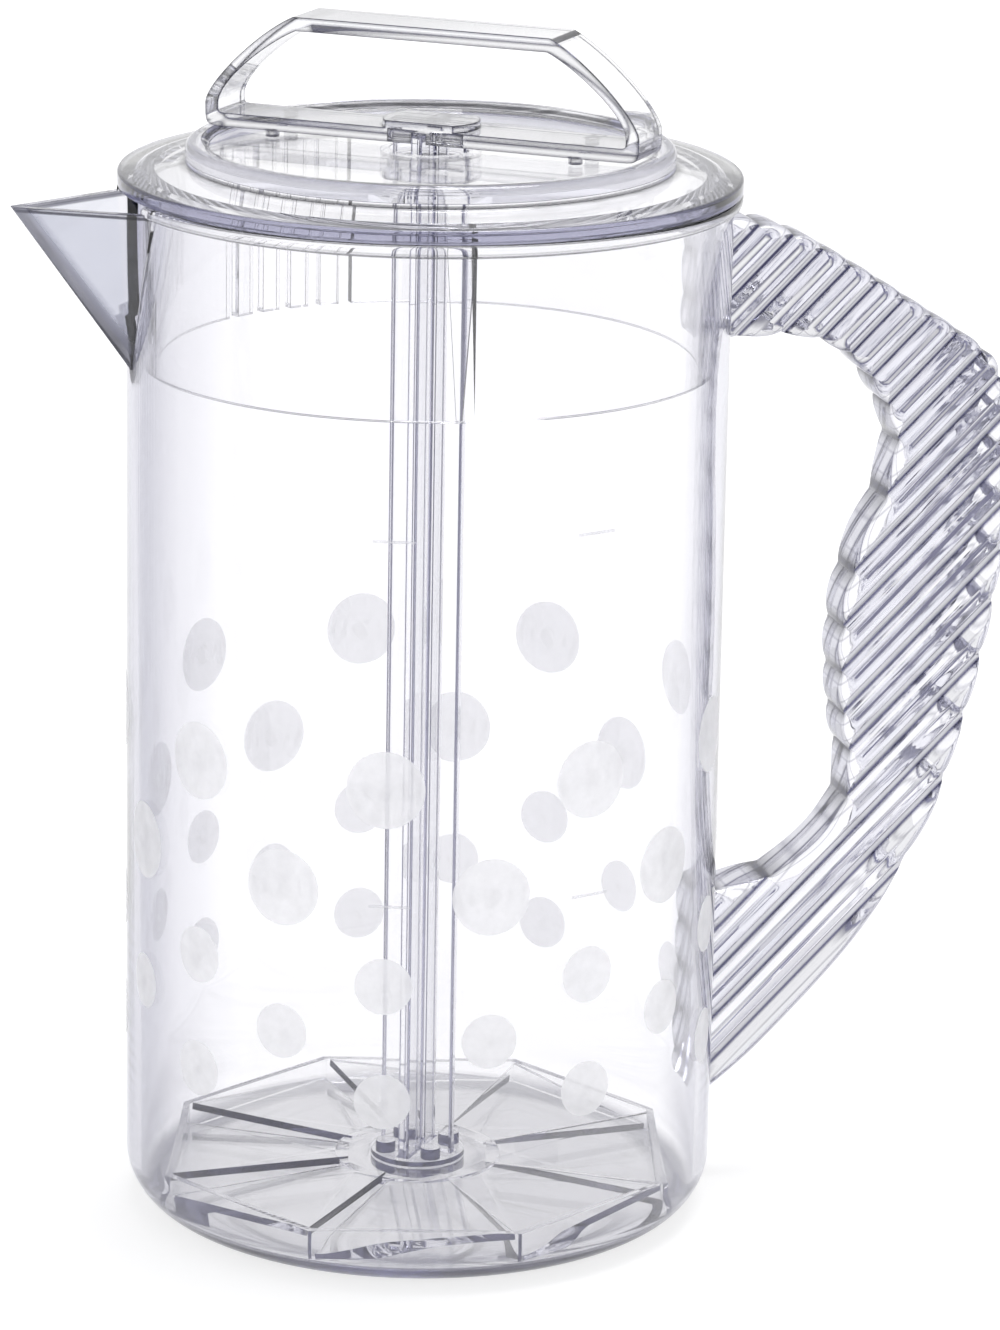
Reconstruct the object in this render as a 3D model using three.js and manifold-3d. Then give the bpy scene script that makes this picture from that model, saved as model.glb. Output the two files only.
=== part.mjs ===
import * as THREE from "three";
import { mergeVertices } from "three/addons/utils/BufferGeometryUtils.js";
import Module from "manifold-3d";

// A clear plastic two-quart pitcher with a lift-off lid and a hand plunger that stirs the drink.
// Millimetres, +Z up. The origin is the middle of the underside. The spout points to -X and the side handle to +X.

// General clearances and fineness
const seatGap = 0.3;
const runningGap = 0.3;
const cutOverrun = 2;
const weldTolerance = 0.0005;
const turnSegments = 72;
const pinSegments = 20;
const cornerSegments = 5;

// Pitcher body
const bodyRadius = 65;
const bodyHeight = 228.5;
const wallThickness = 2.5;
const floorThickness = 3.5;
const footRounding = 12;
const floorRounding = 4;
const rimProud = 2;
const rimHeight = 2.6;

// Pour spout
const spoutReach = 27.3;
const spoutDepth = 38;
const spoutHalfWidth = 16.3;
const spoutDrop = 1.7;
const spoutWall = 2.2;
const spoutTipRadius = 1.2;

// Sides of the plunger's loop: two control points of their curve, as shares of its half span and its height
const loopSideShares = [[1, 0.36], [0.76, 0.84]];
const loopKneeShare = 0.2;

// Side handle
const handleReach = 67;
const handleBottom = 21;
const handleTopDrop = 5.9;
const handleRoot = 6;
const handleThickness = 16;
const handleEdgeRounding = 2.6;
const fluteSpacing = 7.3;
const fluteDepth = 1.9;
const fluteAngle = THREE.MathUtils.degToRad(45);
const fluteOffset = 0.65;
const edgeFluteShare = 0.55;
const outlineSteps = 104;

// Outline of the side handle, as shares of its reach from the wall and of its height, from the top root down
const outerEdgeShares = [
  [0, 1.0], [0.09, 0.998], [0.254, 0.98], [0.437, 0.945], [0.672, 0.895], [0.836, 0.859],
  [0.936, 0.829], [0.985, 0.779], [1.0, 0.709], [0.985, 0.608], [0.937, 0.504], [0.858, 0.397],
  [0.751, 0.295], [0.518, 0.169], [0.212, 0.056], [0, -0.003],
];
const innerEdgeShares = [
  [0, 0.236], [0.104, 0.241], [0.269, 0.261], [0.41, 0.304], [0.467, 0.359], [0.436, 0.427],
  [0.421, 0.503], [0.439, 0.573], [0.493, 0.633], [0.567, 0.691], [0.59, 0.749], [0.522, 0.802],
  [0.415, 0.843], [0.276, 0.864], [0.134, 0.867], [0, 0.867],
];

// Lid
const lidThickness = 2.3;
const flangeHeight = 3;
const flangeRounding = 0.8;
const lidShoulderRise = 1.7;
const lidTopRise = 9.2;
const lidStep = 8.8;
const lidRingWidth = 5;
const lidRingRounding = 2;
const lidDishDepth = 1.5;
const skirtDepth = 38.2;
const skirtWall = 2.4;
const skirtSlack = 1.2;
const strainerSlotWidth = 3;
const strainerSlotTop = 2.6;
const strainerSlotCount = 5;
const strainerSlotStep = THREE.MathUtils.degToRad(7.5);
const strainerMiddle = THREE.MathUtils.degToRad(110);
const indexRibWidth = 6;
const indexRibProud = 0.8;
const indexRibAngle = THREE.MathUtils.degToRad(-98);
const indexRibFootShare = 0.2;
const collarWall = 2;
const collarDepth = 5.6;

// Plunger: a loop handle, a rod of cross section and an eight-bladed mixing disc, turned together about Z
const plungerAngle = THREE.MathUtils.degToRad(-37);
const rodSpan = 17;
const rodFin = 2.5;
const finCount = 4;
const loopMargin = 2.5;
const loopHeight = 25;
const loopShoulder = 20.5;
const loopDepth = 14;
const loopStrap = 3;
const loopFootRounding = 5;
const loopEdgeRounding = 0.7;
const footInset = 15;
const footRadius = 1.5;
const bossWall = 2;
const bossRise = 1.6;
const socketDepth = 2;
const discLift = 1.2;
const discClearance = 3.3;
const discRimWall = 1.8;
const discRimHeight = 6;
const bladeCount = 8;
const bladeThickness = 1.6;
const bladeSlot = 1.2;
const hubRadius = 18.5;
const hubPlate = 1.8;
const hubBossHeight = 5;
const pegRadius = 2.2;
const pegInset = 0.6;
const pegRise = 2.5;

// Levels and radii that follow from the sizes above
const innerRadius = bodyRadius - wallThickness;
const rimRadius = bodyRadius + rimProud;
const handleHeight = bodyHeight - rimHeight - handleTopDrop - handleBottom;
const handleCentre = new THREE.Vector2(bodyRadius + handleReach / 2, handleBottom + handleHeight / 2);
const ridgeRadius = ((fluteSpacing / 2) ** 2 + fluteDepth ** 2) / (2 * fluteDepth);
const flangeUnderside = bodyHeight + seatGap;
const flangeTop = flangeUnderside + flangeHeight;
const lidShoulder = flangeTop + lidShoulderRise;
const lidTop = flangeUnderside + lidTopRise;
const dishTop = lidTop - lidDishDepth;
const dishUnderside = dishTop - lidThickness;
const skirtRadius = innerRadius - skirtSlack;
const skirtInside = skirtRadius - skirtWall;
const skirtBottom = flangeUnderside - skirtDepth;
const lidTopRadius = skirtRadius - lidStep;
const collarInside = Math.hypot(rodSpan / 2, rodFin / 2) + runningGap;
const collarOutside = collarInside + collarWall;
const collarBottom = dishUnderside - collarDepth;
const loopUnderside = lidTop + seatGap;
const loopSpan = 2 * (lidTopRadius - loopMargin);
const loopTopSpan = loopSpan - 2 * loopShoulder;
const footSpan = loopSpan - 2 * footInset;
const bossRadius = rodSpan / 2 + bossWall;
const discRadius = innerRadius - discClearance;
const discBottom = floorThickness + discLift;
const bladeMiddle = discBottom + discRimHeight / 2;
const bladeRise = discRimHeight - bladeThickness;
const pegPlace = bossRadius - pegRadius - pegInset;
const rodBottom = discBottom;
const rodTop = loopUnderside + socketDepth;

const wasm = await Module();
wasm.setup();

function solidFrom(geometry) {
  const bare = geometry.index ? geometry.toNonIndexed() : geometry.clone();
  bare.deleteAttribute("normal");
  bare.deleteAttribute("uv");
  const merged = mergeVertices(bare, weldTolerance);
  const vertProperties = merged.attributes.position.array;
  const triVerts = new Uint32Array(merged.index.array);
  return new wasm.Manifold(new wasm.Mesh({ numProp: 3, vertProperties, triVerts }));
}

function geometryFrom(solid) {
  const { numProp, vertProperties, triVerts } = solid.getMesh();
  const geometry = new THREE.BufferGeometry();
  geometry.setAttribute("position", new THREE.BufferAttribute(vertProperties, numProp));
  geometry.setIndex(new THREE.BufferAttribute(triVerts, 1));
  geometry.computeVertexNormals();
  return geometry;
}

function unite(solids) {
  return solids.reduce((sum, next) => sum.add(next));
}

// Points of a circular arc in a profile, end points included
function arcPoints(centreX, centreY, radius, start, end) {
  return Array.from({ length: cornerSegments + 1 }, (_, step) => {
    const angle = THREE.MathUtils.lerp(start, end, step / cornerSegments);
    return new THREE.Vector2(centreX + radius * Math.cos(angle), centreY + radius * Math.sin(angle));
  });
}

// Revolves a profile of radius and height about Z
function revolve(profile) {
  return solidFrom(new THREE.LatheGeometry(profile, turnSegments).rotateX(Math.PI / 2));
}

// A straight-sided solid that stands on a plan outline, from one height up to another
function standing(shape, bottom, top) {
  const geometry = new THREE.ExtrudeGeometry(shape, { depth: top - bottom, bevelEnabled: false });
  return solidFrom(geometry.translate(0, 0, bottom));
}

// An outline drawn in X and Z, given its thickness along Y and centred on the XZ plane
function upright(shape, thickness, rounding, roundingSteps, curveSegments) {
  const depth = thickness - 2 * rounding;
  const geometry = new THREE.ExtrudeGeometry(shape, {
    depth,
    curveSegments,
    bevelEnabled: rounding > 0,
    bevelThickness: rounding,
    bevelSize: rounding,
    bevelOffset: -rounding,
    bevelSegments: roundingSteps,
  });
  return solidFrom(geometry.translate(0, 0, -depth / 2).rotateX(Math.PI / 2));
}

function cylinder(radius, bottom, top, segments = turnSegments) {
  const geometry = new THREE.CylinderGeometry(radius, radius, top - bottom, segments);
  return solidFrom(geometry.rotateX(Math.PI / 2).translate(0, 0, (bottom + top) / 2));
}

function block(xSize, ySize, bottom, top) {
  const geometry = new THREE.BoxGeometry(xSize, ySize, top - bottom);
  return solidFrom(geometry.translate(0, 0, (bottom + top) / 2));
}

// Pitcher body

function bodyOutside() {
  const profile = [
    new THREE.Vector2(0, 0),
    ...arcPoints(bodyRadius - footRounding, footRounding, footRounding, -Math.PI / 2, 0),
    new THREE.Vector2(bodyRadius, bodyHeight - rimHeight),
    new THREE.Vector2(rimRadius, bodyHeight - rimHeight),
    new THREE.Vector2(rimRadius, bodyHeight),
    new THREE.Vector2(0, bodyHeight),
  ];
  return revolve(profile);
}

function bodyInside() {
  const centreHeight = floorThickness + floorRounding;
  const profile = [
    new THREE.Vector2(0, floorThickness),
    ...arcPoints(innerRadius - floorRounding, centreHeight, floorRounding, -Math.PI / 2, 0),
    new THREE.Vector2(innerRadius, bodyHeight + cutOverrun),
    new THREE.Vector2(0, bodyHeight + cutOverrun),
  ];
  return revolve(profile);
}

// The beak of the spout: a plan outline that narrows to a point at the foot of its keel.
// Scaled rings of the outline are lofted from the foot up to the top edge.
function spoutWedge(reach, halfWidth, tipRadius, keelFoot, top, wallRadius) {
  const rootX = -Math.sqrt(wallRadius ** 2 - halfWidth ** 2);
  const tipX = -(wallRadius + reach);
  const slope = Math.atan2(halfWidth, rootX - tipX);
  const tipCentre = tipX + tipRadius / Math.sin(slope);
  const tipArc = arcPoints(tipCentre, 0, tipRadius, Math.PI / 2 + slope, (3 * Math.PI) / 2 - slope);
  const plan = [new THREE.Vector2(rootX, halfWidth), ...tipArc, new THREE.Vector2(rootX, -halfWidth)];
  const anchorX = -wallRadius;
  const inner = wallRadius / 2;
  const ring = (share, height) => [
    new THREE.Vector3(-inner, 0, height),
    ...plan.map((p) => new THREE.Vector3(anchorX + (p.x - anchorX) * share, p.y * share, height)),
  ];
  const footShare = 0.01;
  return loft([ring(footShare, keelFoot), ring(1, top)]);
}

// Closed skin through rings of equal count, with fans over both ends
function loft(rings) {
  const count = rings[0].length;
  const positions = rings.flat().flatMap((p) => [p.x, p.y, p.z]);
  const indices = [];
  for (let level = 0; level + 1 < rings.length; level += 1) {
    for (let i = 0; i < count; i += 1) {
      const a = level * count + i;
      const b = level * count + ((i + 1) % count);
      indices.push(a, b, b + count, a, b + count, a + count);
    }
  }
  const last = (rings.length - 1) * count;
  for (let i = 1; i + 1 < count; i += 1) {
    indices.push(0, i + 1, i, last, last + i, last + i + 1);
  }
  const geometry = new THREE.BufferGeometry();
  geometry.setAttribute("position", new THREE.Float32BufferAttribute(positions, 3));
  geometry.setIndex(indices);
  return solidFrom(geometry);
}

function pitcherBody() {
  const keelFoot = bodyHeight - spoutDepth;
  const spoutTop = bodyHeight - spoutDrop;
  const beak = spoutWedge(spoutReach, spoutHalfWidth, spoutTipRadius, keelFoot, spoutTop, bodyRadius);
  const channelReach = spoutReach - 2 * spoutWall;
  const channelFoot = keelFoot + 2 * spoutWall;
  const channelHalfWidth = spoutHalfWidth - spoutWall;
  const channelTop = bodyHeight + cutOverrun;
  const grow = (channelTop - channelFoot) / (spoutTop - channelFoot);
  const channel = spoutWedge(
    channelReach * grow, channelHalfWidth * grow, spoutTipRadius / 2, channelFoot, channelTop, bodyRadius,
  );
  return bodyOutside().add(beak).subtract(bodyInside()).subtract(channel);
}

// Side handle

function handlePoint([reachShare, heightShare]) {
  return new THREE.Vector2(
    bodyRadius + handleReach * reachShare,
    handleBottom + handleHeight * heightShare,
  );
}

// How deep the fluted surface lies below its crests at a point of the handle
function grooveDepth(point) {
  const { x, y } = point.clone().sub(handleCentre);
  const across = x * Math.sin(fluteAngle) - y * Math.cos(fluteAngle) + fluteOffset;
  const offCrest = THREE.MathUtils.euclideanModulo(across, fluteSpacing) - fluteSpacing / 2;
  return ridgeRadius - Math.sqrt(ridgeRadius ** 2 - offCrest ** 2);
}

// The flutes run out over the handle's edges, so each edge dips where a groove crosses it.
// The material lies to the right of the edge's direction. Towards the wall the dips fade.
function flutedEdge(points) {
  return points.map((point, i) => {
    const before = points[Math.max(i - 1, 0)];
    const after = points[Math.min(i + 1, points.length - 1)];
    const inward = new THREE.Vector2(after.y - before.y, before.x - after.x).normalize();
    const fade = THREE.MathUtils.clamp((point.x - bodyRadius) / handleRoot, 0, 1);
    return point.clone().addScaledVector(inward, grooveDepth(point) * edgeFluteShare * fade);
  });
}

// The outer edge from the top root down, then the inner edge back up. Each edge is carried on into the wall.
function handleOutline() {
  const edges = [outerEdgeShares, innerEdgeShares].map((shares) => {
    const edge = flutedEdge(new THREE.SplineCurve(shares.map(handlePoint)).getSpacedPoints(outlineSteps));
    const [first, last] = [edge[0], edge[outlineSteps]];
    const rootX = bodyRadius - handleRoot;
    return [new THREE.Vector2(rootX, first.y), ...edge, new THREE.Vector2(rootX, last.y)];
  });
  return new THREE.Shape(edges.flat().reverse());
}

// Everything beyond a row of rounded ridges on one broad face. The ridges run along the cutter's length.
function ridgeCutter() {
  const reach = handleHeight + handleReach;
  const ridgesEachWay = Math.ceil(reach / 2 / fluteSpacing);
  const crest = handleThickness / 2;
  const swing = Math.asin(fluteSpacing / 2 / ridgeRadius);
  const outline = [];
  for (let ridge = -ridgesEachWay; ridge < ridgesEachWay; ridge += 1) {
    const middle = (ridge + 1 / 2) * fluteSpacing - fluteOffset;
    const start = Math.PI / 2 + swing;
    const end = Math.PI / 2 - swing;
    outline.push(...arcPoints(middle, crest - ridgeRadius, ridgeRadius, start, end).slice(0, -1));
  }
  const side = ridgesEachWay * fluteSpacing - fluteOffset;
  outline.push(new THREE.Vector2(side, crest - fluteDepth));
  outline.push(new THREE.Vector2(side, crest + cutOverrun));
  outline.push(new THREE.Vector2(outline[0].x, crest + cutOverrun));
  const geometry = new THREE.ExtrudeGeometry(new THREE.Shape(outline), { depth: reach, bevelEnabled: false });
  geometry.translate(0, 0, -reach / 2);
  geometry.rotateY(Math.PI / 2 - fluteAngle);
  return solidFrom(geometry.translate(handleCentre.x, 0, handleCentre.y));
}

function sideHandle() {
  const slab = upright(handleOutline(), handleThickness, handleEdgeRounding, 2, outlineSteps);
  const frontCut = ridgeCutter();
  const backCut = frontCut.mirror([0, 1, 0]);
  const wallCut = cylinder(bodyRadius + seatGap, 0, bodyHeight);
  return slab.subtract(frontCut).subtract(backCut).subtract(wallCut);
}

// Lid

function lidProfile() {
  const ringOuter = lidTopRadius;
  const ringInner = lidTopRadius - lidRingWidth;
  const rounding = lidRingRounding;
  const underRing = ringOuter - lidThickness;
  return [
    new THREE.Vector2(collarInside, dishTop),
    new THREE.Vector2(collarInside, collarBottom),
    new THREE.Vector2(collarOutside, collarBottom),
    new THREE.Vector2(collarOutside, dishUnderside),
    new THREE.Vector2(underRing, dishUnderside),
    new THREE.Vector2(underRing, lidShoulder - lidThickness),
    new THREE.Vector2(skirtInside, flangeTop - lidThickness),
    new THREE.Vector2(skirtInside, skirtBottom),
    new THREE.Vector2(skirtRadius, skirtBottom),
    new THREE.Vector2(skirtRadius, flangeUnderside),
    new THREE.Vector2(rimRadius, flangeUnderside),
    ...arcPoints(rimRadius - flangeRounding, flangeTop - flangeRounding, flangeRounding, 0, Math.PI / 2),
    new THREE.Vector2(ringOuter, lidShoulder),
    ...arcPoints(ringOuter - rounding, lidTop - rounding, rounding, 0, Math.PI / 2),
    new THREE.Vector2(ringInner + lidDishDepth, lidTop),
    new THREE.Vector2(ringInner, dishTop),
    new THREE.Vector2(collarInside, dishTop),
  ];
}

function strainerSlot(index) {
  const angle = strainerMiddle + (index - (strainerSlotCount - 1) / 2) * strainerSlotStep;
  const length = skirtWall + 2 * cutOverrun;
  const slot = block(length, strainerSlotWidth, skirtBottom - cutOverrun, flangeUnderside - strainerSlotTop);
  const middle = (skirtRadius + skirtInside) / 2;
  return slot.translate([middle, 0, 0]).rotate([0, 0, THREE.MathUtils.radToDeg(angle)]);
}

// A shallow rib inside the skirt that tapers to its foot, opposite the strainer slots
function indexRib() {
  const top = flangeUnderside;
  const half = indexRibWidth / 2;
  const outline = new THREE.Shape([
    new THREE.Vector2(-half * indexRibFootShare, skirtBottom),
    new THREE.Vector2(half * indexRibFootShare, skirtBottom),
    new THREE.Vector2(half, top),
    new THREE.Vector2(-half, top),
  ]);
  const depth = indexRibProud + skirtWall / 2;
  const rib = upright(outline, depth, 0, 1, 1);
  const middle = skirtInside - indexRibProud + depth / 2;
  const turn = THREE.MathUtils.radToDeg(indexRibAngle) + 90;
  return rib.translate([0, -middle, 0]).rotate([0, 0, turn]);
}

function lid() {
  const slots = Array.from({ length: strainerSlotCount }, (_, index) => strainerSlot(index));
  return revolve(lidProfile()).add(indexRib()).subtract(unite(slots));
}

// Plunger, modelled with its loop along X and turned to its place by its group

function crossSolid(span, fin, bottom, top) {
  return block(span, fin, bottom, top).add(block(fin, span, bottom, top));
}

// The loop's outline, drawn in from its outer edge by an inset: a straight bar with rounded ends below,
// curved sides, and a straight grip on top that meets the sides at a soft knee
function loopOutline(inset) {
  const half = loopSpan / 2 - inset;
  const top = loopHeight - inset;
  const knee = loopTopSpan / 2 - inset * loopKneeShare;
  const corner = loopFootRounding - inset;
  const [lower, upper] = loopSideShares.map(([reach, rise]) => [half * reach, inset + (top - inset) * rise]);
  const outline = new THREE.Shape();
  outline.moveTo(corner - half, inset);
  outline.lineTo(half - corner, inset);
  outline.quadraticCurveTo(half, inset, half, inset + corner);
  outline.bezierCurveTo(lower[0], lower[1], upper[0], upper[1], knee, top);
  outline.lineTo(-knee, top);
  outline.bezierCurveTo(-upper[0], upper[1], -lower[0], lower[1], -half, inset + corner);
  outline.quadraticCurveTo(-half, inset, corner - half, inset);
  return outline;
}

// Small feet under the bar's four corners, which stand on the lid's dish
function loopFeet() {
  const reach = footSpan / 2;
  const side = loopDepth / 2 - loopEdgeRounding - footRadius;
  const foot = cylinder(footRadius, dishTop + seatGap, loopUnderside + loopStrap / 2, pinSegments);
  return unite([reach, -reach].flatMap((x) => [foot.translate([x, side, 0]), foot.translate([x, -side, 0])]));
}

function plungerHandle() {
  const outline = loopOutline(0);
  outline.holes.push(loopOutline(loopStrap));
  const loop = upright(outline, loopDepth, loopEdgeRounding, 2, 10).translate([0, 0, loopUnderside]);
  const bossTop = loopUnderside + loopStrap + bossRise;
  const bossCut = block(2 * bossRadius, loopDepth, loopUnderside, bossTop);
  const boss = cylinder(bossRadius, loopUnderside + loopStrap / 2, bossTop).intersect(bossCut);
  const socketSpan = rodSpan + 2 * seatGap;
  const socketFin = rodFin + 2 * seatGap;
  const socket = crossSolid(socketSpan, socketFin, loopUnderside - cutOverrun, rodTop + seatGap);
  return unite([loop, boss, loopFeet()]).subtract(socket);
}

function plungerRod() {
  return crossSolid(rodSpan, rodFin, rodBottom, rodTop);
}

// Mixing disc

function octagon(radius) {
  return new THREE.Shape(
    Array.from({ length: bladeCount }, (_, corner) => {
      const angle = (corner * 2 * Math.PI) / bladeCount;
      return new THREE.Vector2(radius * Math.cos(angle), radius * Math.sin(angle));
    }),
  );
}

// One pitched blade between two corners of the rim: flat, tilted about its own middle line,
// with its leading edge high and its trailing edge low.
function blade(index) {
  const sector = (2 * Math.PI) / bladeCount;
  const outerReach = (discRadius - discRimWall / 2) * Math.cos(sector / 2);
  const innerReach = (hubRadius - discRimWall) * Math.cos(sector / 2);
  const halfSlot = bladeSlot / 2 / Math.cos(sector / 2);
  const halfWidth = (reach) => reach * Math.tan(sector / 2) - halfSlot;
  const outline = new THREE.Shape([
    new THREE.Vector2(innerReach, -halfWidth(innerReach)),
    new THREE.Vector2(outerReach, -halfWidth(outerReach)),
    new THREE.Vector2(outerReach, halfWidth(outerReach)),
    new THREE.Vector2(innerReach, halfWidth(innerReach)),
  ]);
  const geometry = new THREE.ExtrudeGeometry(outline, { depth: bladeThickness, bevelEnabled: false });
  geometry.translate(0, 0, -bladeThickness / 2);
  geometry.rotateX(Math.atan2(bladeRise / 2, halfWidth(outerReach)));
  geometry.translate(0, 0, bladeMiddle);
  return solidFrom(geometry.rotateZ((index + 1 / 2) * sector));
}

function mixingDisc() {
  const rimTop = discBottom + discRimHeight;
  const rim = standing(octagon(discRadius), discBottom, rimTop).subtract(
    standing(octagon(discRadius - discRimWall), discBottom - cutOverrun, rimTop + cutOverrun),
  );
  const hubBottom = bladeMiddle - hubPlate / 2;
  const hub = cylinder(hubRadius, hubBottom, hubBottom + hubPlate);
  const bossTop = discBottom + hubBossHeight;
  const boss = cylinder(bossRadius, discBottom, bossTop);
  const blades = Array.from({ length: bladeCount }, (_, index) => blade(index));
  const pegs = Array.from({ length: finCount }, (_, index) => {
    const angle = ((index + 1 / 2) * 2 * Math.PI) / finCount;
    const peg = cylinder(pegRadius, discBottom, bossTop + pegRise, pinSegments);
    return peg.translate([pegPlace * Math.cos(angle), pegPlace * Math.sin(angle), 0]);
  });
  const socketSpan = rodSpan + 2 * seatGap;
  const socketFin = rodFin + 2 * seatGap;
  const socket = crossSolid(socketSpan, socketFin, discBottom - cutOverrun, bossTop + pegRise + cutOverrun);
  return unite([rim, hub, boss, ...blades, ...pegs]).subtract(socket);
}

// Assembly

function clearPlastic(colour, roughness) {
  return new THREE.MeshStandardMaterial({ color: colour, roughness, metalness: 0, transparent: true, opacity: 0.35 });
}

function piece(name, solid, material) {
  const mesh = new THREE.Mesh(geometryFrom(solid), material);
  mesh.name = name;
  return mesh;
}

const group = new THREE.Group();
const bodyClear = clearPlastic(0xe6e7ee, 0.05);
const handleClear = clearPlastic(0xd5d7e4, 0.05);
const lidClear = clearPlastic(0xe2e3ec, 0.05);
const plungerClear = clearPlastic(0xdcdde8, 0.05);

group.add(piece("pitcher_body", pitcherBody(), bodyClear));
group.add(piece("side_handle", sideHandle(), handleClear));
group.add(piece("lid", lid(), lidClear));

const plunger = new THREE.Group();
plunger.rotation.z = plungerAngle;
plunger.add(piece("plunger_handle", plungerHandle(), plungerClear));
plunger.add(piece("plunger_rod", plungerRod(), plungerClear));
plunger.add(piece("mixing_disc", mixingDisc(), plungerClear));
group.add(plunger);

export default group;
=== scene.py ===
import math

import bmesh
import bpy
from mathutils import Euler, Matrix, Vector

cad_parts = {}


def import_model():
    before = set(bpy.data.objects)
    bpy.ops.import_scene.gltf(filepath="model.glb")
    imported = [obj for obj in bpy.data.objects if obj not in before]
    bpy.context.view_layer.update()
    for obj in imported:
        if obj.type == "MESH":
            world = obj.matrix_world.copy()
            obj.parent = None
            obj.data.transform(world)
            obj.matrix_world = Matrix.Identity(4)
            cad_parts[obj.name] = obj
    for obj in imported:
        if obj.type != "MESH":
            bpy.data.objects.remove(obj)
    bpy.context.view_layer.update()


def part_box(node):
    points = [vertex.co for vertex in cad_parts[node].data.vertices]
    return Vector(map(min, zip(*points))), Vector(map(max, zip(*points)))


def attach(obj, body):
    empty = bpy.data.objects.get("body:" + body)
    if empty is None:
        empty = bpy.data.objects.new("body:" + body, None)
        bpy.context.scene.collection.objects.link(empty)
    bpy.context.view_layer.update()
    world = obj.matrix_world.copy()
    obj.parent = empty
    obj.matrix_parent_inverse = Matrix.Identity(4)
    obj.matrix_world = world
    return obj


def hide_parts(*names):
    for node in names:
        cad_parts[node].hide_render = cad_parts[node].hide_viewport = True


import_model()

# Metres, in the frame of the CAD model: +Z up, spout to -X, side handle to +X
MM = 0.001
BODY_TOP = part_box("pitcher_body")[1].z
RIM_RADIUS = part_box("pitcher_body")[1].y
LID_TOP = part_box("lid")[1].z
LID_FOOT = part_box("lid")[0].z
LOOP_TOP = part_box("plunger_handle")[1].z
ROD_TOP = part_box("plunger_rod")[1].z
DISC_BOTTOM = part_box("mixing_disc")[0].z

# Fineness
TURN_STEPS = 288
ARC_STEPS = 10
SHARP_ANGLE = math.radians(34)
RIDGE_SHARP_ANGLE = math.radians(24)
SHARPEST_TURN = 0.3
SAME_POINT = 1e-7
PIN_STEPS = 48
OVERRUN = 2 * MM
SEAT_GAP = 0.3 * MM

# Pitcher body and spout
RIM_PROUD = 2 * MM
BODY_RADIUS = RIM_RADIUS - RIM_PROUD
WALL = 2.5 * MM
FLOOR = 3.5 * MM
FOOT_ROUNDING = 12 * MM
FLOOR_ROUNDING = 4 * MM
RIM_HEIGHT = 2.6 * MM
RIM_ROUNDING = 0.9 * MM
INNER_RADIUS = BODY_RADIUS - WALL
SPOUT_REACH = 27.25 * MM
SPOUT_DEPTH = 38 * MM
SPOUT_HALF_WIDTH = 16.3 * MM
SPOUT_DROP = 1.7 * MM
SPOUT_WALL = 2.2 * MM
KEEL_WALL = 3.6 * MM
SPOUT_TIP_RADIUS = 1.2 * MM
SPOUT_FOOT_SHARE = 0.01
SPOUT_STEPS = 40

# Side handle
HANDLE_REACH = 66.95 * MM
HANDLE_FOOT = 21 * MM
HANDLE_HEIGHT = 199 * MM
HANDLE_THICKNESS = 16 * MM
HANDLE_ROUNDING = 2.6 * MM
HANDLE_ROOT = 6 * MM
RIDGE_SPACING = 7.3 * MM
RIDGE_DEPTH = 1.9 * MM
RIDGE_ANGLE = math.radians(45)
RIDGE_OFFSET = 0.65 * MM
RIDGE_CREST_SHARE = 0.3
RIDGE_POWER = 1.5
RIDGE_STEPS = 8
OUTER_EDGE_SHARES = [
    (0, 1.0), (0.09, 0.998), (0.254, 0.98), (0.437, 0.945), (0.672, 0.895), (0.836, 0.859),
    (0.936, 0.829), (0.985, 0.779), (1.0, 0.709), (0.985, 0.608), (0.937, 0.504), (0.858, 0.397),
    (0.751, 0.295), (0.518, 0.169), (0.212, 0.056), (0, -0.003),
]
INNER_EDGE_SHARES = [
    (0, 0.236), (0.104, 0.241), (0.269, 0.261), (0.41, 0.304), (0.467, 0.359), (0.436, 0.427),
    (0.421, 0.503), (0.439, 0.573), (0.493, 0.633), (0.567, 0.691), (0.59, 0.749), (0.522, 0.802),
    (0.415, 0.843), (0.276, 0.864), (0.134, 0.867), (0, 0.867),
]
EDGE_STEPS = 260
EDGE_FLUTE_SHARE = 0.55

# Lid
LID_THICKNESS = 2.3 * MM
FLANGE_HEIGHT = 3 * MM
FLANGE_ROUNDING = 0.8 * MM
LID_SHOULDER_RISE = 1.7 * MM
LID_RING_WIDTH = 5 * MM
LID_RING_ROUNDING = 2 * MM
LID_DISH_DEPTH = 1.5 * MM
LID_SOFTENING = 0.4 * MM
SKIRT_WALL = 2.4 * MM
SKIRT_SLACK = 1.2 * MM
LID_STEP = 8.8 * MM
SLOT_WIDTH = 3 * MM
SLOT_TOP = 2.6 * MM
SLOT_COUNT = 5
SLOT_STEP = math.radians(7.5)
SLOT_MIDDLE = math.radians(110)
INDEX_RIB_WIDTH = 6 * MM
INDEX_RIB_PROUD = 0.8 * MM
INDEX_RIB_ANGLE = math.radians(-98)
INDEX_RIB_FOOT_SHARE = 0.2
COLLAR_WALL = 2 * MM
COLLAR_DEPTH = 5.6 * MM
RUNNING_GAP = 0.3 * MM

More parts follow.
